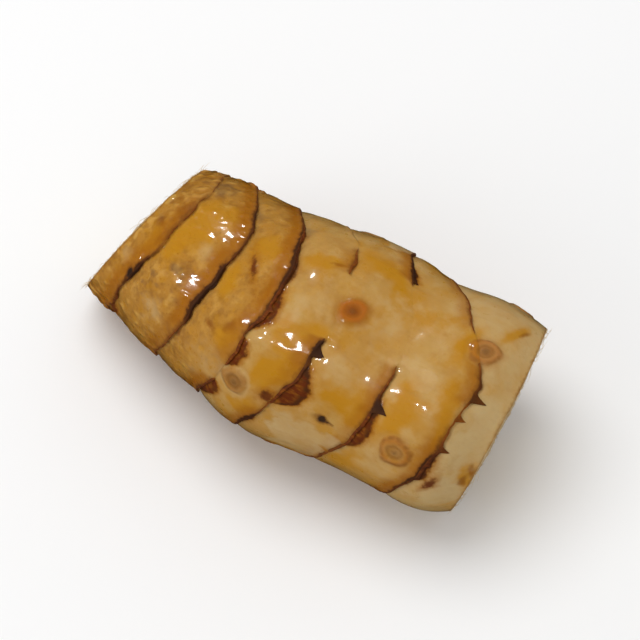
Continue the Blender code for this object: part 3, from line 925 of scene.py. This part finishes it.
# How far over the step each row of points lies: first those on top, then those below
EDGE_TOP_SHARES = (0.0, 0.15, 0.3, 0.45, 0.6, 0.75, 0.9, 1.0)
EDGE_UNDER_SHARES = (1.0, 0.6, 0.2)
EDGE_ROWS = [(share, 0.0) for share in EDGE_TOP_SHARES] + [(share, 1.0) for share in EDGE_UNDER_SHARES]
# Tears and curls: waves round the stem, and what is added to the ring's number for the seed of their noise
TEARS = ((40, 2.5), (130, 3.5))
TEAR_DEPTH = 0.30
TEAR_SHARE = 0.8
CURL = (60, 4.5)
CURL_RISE = 0.04
# Teeth: ring, turn of the tip, length, and over how many degrees it grows
TEETH = (
    (1, 126, 0.5, 6), (2, 112.5, 1.3, 5), (3, 124.5, 2.6, 8), (4, 60, 1.3, 6), (4, 135.5, 2.6, 9),
    (5, 110.5, 2.3, 7), (5, 122.5, 1.6, 5), (5, 141.5, 1.7, 5), (5, 152, 0.8, 4), (5, 163.5, 1, 6),
)
TOOTH_DROP = 1.3
TOOTH_HOLLOW = 1.8
LOOSE_TEETH = 16
LOOSE_LENGTHS = (0.2, 0.6)
LOOSE_GROWTHS = (1.5, 4.0)
RANDOM_SEED = 7
edge_turns = np.arange(EDGE_SIDES) * 360.0 / EDGE_SIDES
draw = np.random.default_rng(RANDOM_SEED)


def tooth(tip_turn, length, growing):
    """One saw tooth: it grows slowly with the turn, then ends at once."""
    gap = turn_gap(edge_turns, tip_turn)
    rise = np.clip(1 + gap / growing, 0.0, 1.0)
    drop = np.clip(1 - gap / TOOTH_DROP, 0.0, 1.0)
    return length * np.where(gap < 0, rise**TOOTH_HOLLOW, drop)


def torn_reach(number, strength, reach):
    """How far a margin's torn edge reaches over the step."""
    tear = sum(TEAR_DEPTH * ragged(edge_turns, waves, number + seed) for waves, seed in TEARS)
    torn = np.minimum(reach, LONGEST_EDGE) * (1 + TEAR_SHARE * tear)
    for ring, *sizes in TEETH:
        if ring == number:
            torn = np.maximum(torn, tooth(*sizes))
    for tip_turn in draw.uniform(0.0, 360.0, LOOSE_TEETH):
        length, growing = draw.uniform(*LOOSE_LENGTHS), draw.uniform(*LOOSE_GROWTHS)
        loose = tooth(tip_turn, length, growing) * strength * (1 - fade(reach, LEAF_STARTS, LEAF_WHOLE))
        torn = np.maximum(torn, loose)
    return np.maximum(torn, EDGE_LEAST)


def skin_level(number, behind):
    """Relief of the skin at a distance behind a margin."""
    _, length, forms = band_behind(number, edge_turns)
    band = band_relief(np.maximum(behind - STEP_WIDTH, 0.0), length, *forms)
    whole = forms[2]
    lip = FLARE * whole + SWELL * WORN_FILL * (1 - whole)
    return lip + (band - lip) * fade(behind, 0.0, STEP_WIDTH)


edge_points, edge_faces, edge_rust, edge_dark = [], [], [], []
edge_pairs = [(i, (i + 1) % EDGE_SIDES) for i in range(EDGE_SIDES)]
section = len(EDGE_ROWS)
for number in range(len(RINGS)):
    strength, reach, rust = margin_left(number, edge_turns)
    torn = torn_reach(number, strength, reach)
    line = ring_place(number, edge_turns)
    step = RINGS[number][4] * wholeness(number, edge_turns)
    sunk = EDGE_HIDDEN_SINK * (1 - fade(strength, *EDGE_SHOWS))
    lip = skin_level(number, np.zeros(EDGE_SIDES)) + EDGE_RISE - sunk
    curl = CURL_RISE * ragged(edge_turns, CURL[0], number + CURL[1])
    for share, under in EDGE_ROWS:
        behind = -EDGE_ROOT + share * (torn + EDGE_ROOT)
        before_lip, past = np.clip(-behind / EDGE_ROOT, 0.0, 1.0), np.maximum(behind, 0.0)
        filled = leaf_lift(step, reach, past) * fade(past, 0.0, STEP_WIDTH)
        lying = skin_level(number, past) + filled + EDGE_CLEARANCE - sunk
        lying = lying + EDGE_BRIDGE[0] * hump(past - STEP_WIDTH, EDGE_BRIDGE[1])
        level = lip + (lying + curl * past - lip) * fade(past, 0.0, EDGE_LIES_AFTER)
        level = level - (EDGE_RISE + EDGE_ROOT_SINK) * before_lip
        level = level - under * EDGE_THICKNESS * (1 - EDGE_TAPER * share)
        lumps = lumps_at(skin_points(line + behind, edge_turns))
        edge_points.append(skin_points(line + behind, edge_turns, level + lumps))
    edge_rust.append(np.tile(rust, section))
    dark = np.maximum(strength, LEAF_DARKENS * fade(reach, LEAF_STARTS, LEAF_LARGE))
    edge_dark.append(np.tile(dark, section))
    rows = [(number * section + k % section) * EDGE_SIDES for k in range(section + 1)]
    for row_a, row_b in zip(rows, rows[1:]):
        edge_faces += [(row_a + i, row_b + i, row_b + j, row_a + j) for i, j in edge_pairs]
edge_shares = np.tile(np.repeat([share for share, _ in EDGE_ROWS], EDGE_SIDES), len(RINGS))
edge_numbers = dict(edge_share=edge_shares, edge_rust=edge_rust, edge_dark=edge_dark)
margins = mesh_object("scale_margins", np.concatenate(edge_points), edge_faces, edge_numbers)

SCALE_DARK = (0.045, 0.014, 0.004)
SCALE_BROWN = (0.085, 0.02, 0.002)
SCALE_RUST = (0.155, 0.029, 0.001)
SCALE_AMBER = (0.29, 0.09, 0.003)
base, shader = new_material("papery_scale", margins, {"Specular IOR Level": 0.15})
place = base.place()
threads = place.stretched((0.2, 1.0, 1.0)).grain(0.45, 3, 20)
rustiness = base.value("edge_rust") + (place.grain(2.2, 3, 21) - 0.5) * 0.9
colour = base.blend(SCALE_DARK, SCALE_BROWN, rustiness.fade(0.1, 0.5)).painted(
    (SCALE_RUST, rustiness.fade(0.4, 0.9) * 0.85),
    (SCALE_AMBER, threads.fade(0.48, 0.7) * rustiness.fade(0.3, 0.9) * 0.5),
    (SCALE_DARK, base.value("edge_share").fall(0.1, 0.6) * 0.45),
    (SCALE_DARK, threads.fall(0.35, 0.52) * 0.45),
    (SCALE_AMBER, base.value("edge_dark").fall(0.35, 0.9) * 0.34),
)
height = threads * 0.08
feed(shader, {"Base Color": colour, "Roughness": (threads - 0.5) * 0.3 + 0.6, "Normal": height.bump()})

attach(margins, "root")


# Cut fibres. The knife tore the flesh's tough fibres, which lie on both cut ends and stand out of their rims
# as fine, curled, straw-coloured threads. They grow out of the flesh, just below its surface.
FACE_FIBRES = 420
RIM_FIBRES = 170
LONG_FIBRES = 70
# How many rows of the cut the rim's fibres grow from, and how strongly the others crowd towards the rim
RIM_ROWS = 3
RIM_CROWDING = 1.7
FIBRE_SIDES = 4
FIBRE_STEPS = 6
FIBRE_THICKNESS = 0.045
FIBRE_TAPER = 0.75
FIBRE_SINK = 0.05
FIBRE_RISES = (0.05, 0.22)
FIBRE_TURN_SPREAD = 0.7
RIM_FIBRE_BACK = 0.1
# Shortest, longest and sideways bend
SHORT_FIBRE = (0.4, 1.3, 0.35)
LONG_FIBRE = (1.2, 2.8, 0.9)
LONG_FIBRE_REACH = 0.45
LONG_FIBRE_REACHES = (0.3, 1.0)
LONG_FIBRE_UP = 0.25
BOX_CLEARANCE = 0.01
FIBRE_STRAW = (0.6, 0.42, 0.2)
FIBRE_CREAM = (0.74, 0.62, 0.41)
fibre_angles = np.arange(FIBRE_SIDES) * math.tau / FIBRE_SIDES
fibre_points, fibre_faces = [], []


def add_fibre(start, way, up, length, rise, curl):
    """One tapered thread from start along way, arching up, and curling sideways."""
    sideways = np.cross(way, up)
    first = len(fibre_points) * FIBRE_SIDES
    rows = [first + FIBRE_SIDES * k for k in range(FIBRE_STEPS)]
    for t in np.linspace(0.0, 1.0, FIBRE_STEPS):
        arch = up * (rise * math.sin(math.pi * t) - FIBRE_SINK)
        middle = start + length * (way * t + sideways * curl * t * t) + arch
        radius = FIBRE_THICKNESS * (1 - FIBRE_TAPER * t)
        corners = [middle + radius * (math.cos(a) * sideways + math.sin(a) * up) for a in fibre_angles]
        fibre_points.append(np.array(corners))
    for pair in zip(rows, rows[1:]):
        fibre_faces.extend(joining_faces(*pair, sides=FIBRE_SIDES))
    fibre_faces.append(tuple(rows[0] + i for i in reversed(range(FIBRE_SIDES))))
    fibre_faces.append(tuple(rows[-1] + i for i in range(FIBRE_SIDES)))


for cut, side, (face_rows, _) in zip((LEFT_CUT, RIGHT_CUT), (-1, 1), ends):
    up = cut_normal(cut, side)
    rim_middle = face_rows[:RIM_ROWS].reshape(-1, 3).mean(axis=0)
    for number in range(FACE_FIBRES + RIM_FIBRES + LONG_FIBRES):
        at_rim = number >= FACE_FIBRES
        long = number >= FACE_FIBRES + RIM_FIBRES
        row = draw.integers(0, RIM_ROWS) if at_rim else int(len(CUT_ROWS) * draw.random() ** RIM_CROWDING)
        start = face_rows[row, draw.integers(0, SIDES)]
        outward = start - rim_middle
        outward /= max(np.linalg.norm(outward), 0.1)
        around = np.cross(up, outward)
        angle = draw.normal(math.pi / 2 if draw.random() < 0.5 else -math.pi / 2, FIBRE_TURN_SPREAD)
        way = math.cos(angle) * outward + math.sin(angle) * around
        if at_rim:
            way = way - (way @ outward + abs(way @ outward) + RIM_FIBRE_BACK) * outward
        way = way - (way @ up) * up
        way /= np.linalg.norm(way)
        if long:
            way = way + LONG_FIBRE_REACH * draw.uniform(*LONG_FIBRE_REACHES) * outward + LONG_FIBRE_UP * up
            way /= np.linalg.norm(way)
        shortest, longest, bend = LONG_FIBRE if long else SHORT_FIBRE
        length = draw.uniform(shortest, longest)
        add_fibre(start, way, up, length, draw.uniform(*FIBRE_RISES), draw.uniform(-bend, bend))

inside_box = np.array(solid_box) / MM + ORIGIN
lowest, highest = inside_box[0] + BOX_CLEARANCE, inside_box[1] - BOX_CLEARANCE
fibre_places = np.clip(np.concatenate(fibre_points), lowest, highest)
fibres_piece = mesh_object("cut_fibres", fibre_places, fibre_faces, {})
base, shader = new_material("dry_fibre", fibres_piece, {"Specular IOR Level": 0.25})
place = base.place()
colour = base.blend(FIBRE_STRAW, FIBRE_CREAM, place.grain(1.2, 2, 26).fade(0.35, 0.65))
feed(shader, {"Base Color": colour, "Roughness": place.grain(0.4, 2, 27) * 0.3 + 0.45})

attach(fibres_piece, "root")


# The table top: plain, pale and matt.
FLOOR_HALF_SIZE = 3.0
FLOOR_LEVEL = -0.0001
FLOOR_COLOUR = (0.93, 0.93, 0.93, 1.0)

ways = ((-1, -1), (1, -1), (1, 1), (-1, 1))
floor_mesh = bpy.data.meshes.new("table_top")
floor_corners = [(x * FLOOR_HALF_SIZE, y * FLOOR_HALF_SIZE, FLOOR_LEVEL) for x, y in ways]
floor_mesh.from_pydata(floor_corners, [], [(0, 1, 2, 3)])
floor = in_scene("table_top", floor_mesh)
new_material("pale_table", floor, {"Base Color": FLOOR_COLOUR, "Roughness": 0.9, "Specular IOR Level": 0.1})
floor.visible_glossy = False


# Light: a pale room, a large soft box overhead and a weaker one low in front on the left. A faint sheen box
# and four small lamps are seen only as reflections on the wax. The lamps make its glints.
AIM = Vector((0.0009, 0.0025, 0.01675))


def towards_aim(name, data, way, distance):
    """A lamp or camera at that distance from the rhizome's middle, turned towards it."""
    made = in_scene(name, data)
    made.location = AIM + way * distance
    made.rotation_euler = way.to_track_quat("Z", "Y").to_euler()
    return made


# Each one's name, the way to it from the rhizome, distance, size, power, whether it lights, and whether the
# wax reflects it
LAMPS = (
    ("overhead_box", (-0.25, 0.05, 0.97), 0.75, 0.6, 2.8, True, False),
    ("front_box", (-0.6, -0.72, 0.35), 0.8, 0.5, 1.1, True, False),
    ("sheen_box", (-0.35, -0.2, 0.93), 0.9, 0.3, 0.22, False, True),
    ("front_glint_lamp", (-0.25, -0.55, 0.797), 0.7, 0.028, 0.26, False, True),
    ("side_glint_lamp", (-0.6, -0.432, 0.673), 0.7, 0.044, 0.55, False, True),
    ("back_glint_lamp", (-0.518, 0.498, 0.695), 0.7, 0.044, 0.6, False, True),
    ("mid_glint_lamp", (-0.08, -0.564, 0.821), 0.7, 0.04, 0.5, False, True),
)
for name, way, distance, size, power, lights, glints in LAMPS:
    lamp = bpy.data.lights.new(name, "AREA")
    lamp.shape, lamp.size, lamp.energy = "DISK", size, power
    holder = towards_aim(name, lamp, Vector(way).normalized(), distance)
    holder.visible_diffuse, holder.visible_glossy = lights, glints

ROOM_LIGHT = 0.58
room = bpy.data.worlds.new("room")
room.use_nodes = True
background = room.node_tree.nodes["Background"]
background.inputs["Color"].default_value = (1.0, 1.0, 1.0, 1.0)
background.inputs["Strength"].default_value = ROOM_LIGHT
bpy.context.scene.world = room
room.cycles_visibility.glossy = False
bpy.context.scene.view_settings.view_transform = "Standard"


# Camera: the photograph looks down on the rhizome from its -Y side, turned towards the thicker end.
CAMERA_AZIMUTH = math.radians(33.5)
CAMERA_ELEVATION = math.radians(60.0)
CAMERA_DISTANCE = 0.62
VIEW_WIDTH = 0.1034

lens = bpy.data.cameras.new("camera")
lens.sensor_width = 36.0
lens.lens = lens.sensor_width * CAMERA_DISTANCE / VIEW_WIDTH
back = Vector((
    math.sin(CAMERA_AZIMUTH) * math.cos(CAMERA_ELEVATION),
    -math.cos(CAMERA_AZIMUTH) * math.cos(CAMERA_ELEVATION),
    math.sin(CAMERA_ELEVATION),
))
bpy.context.scene.camera = towards_aim("camera", lens, back, CAMERA_DISTANCE)
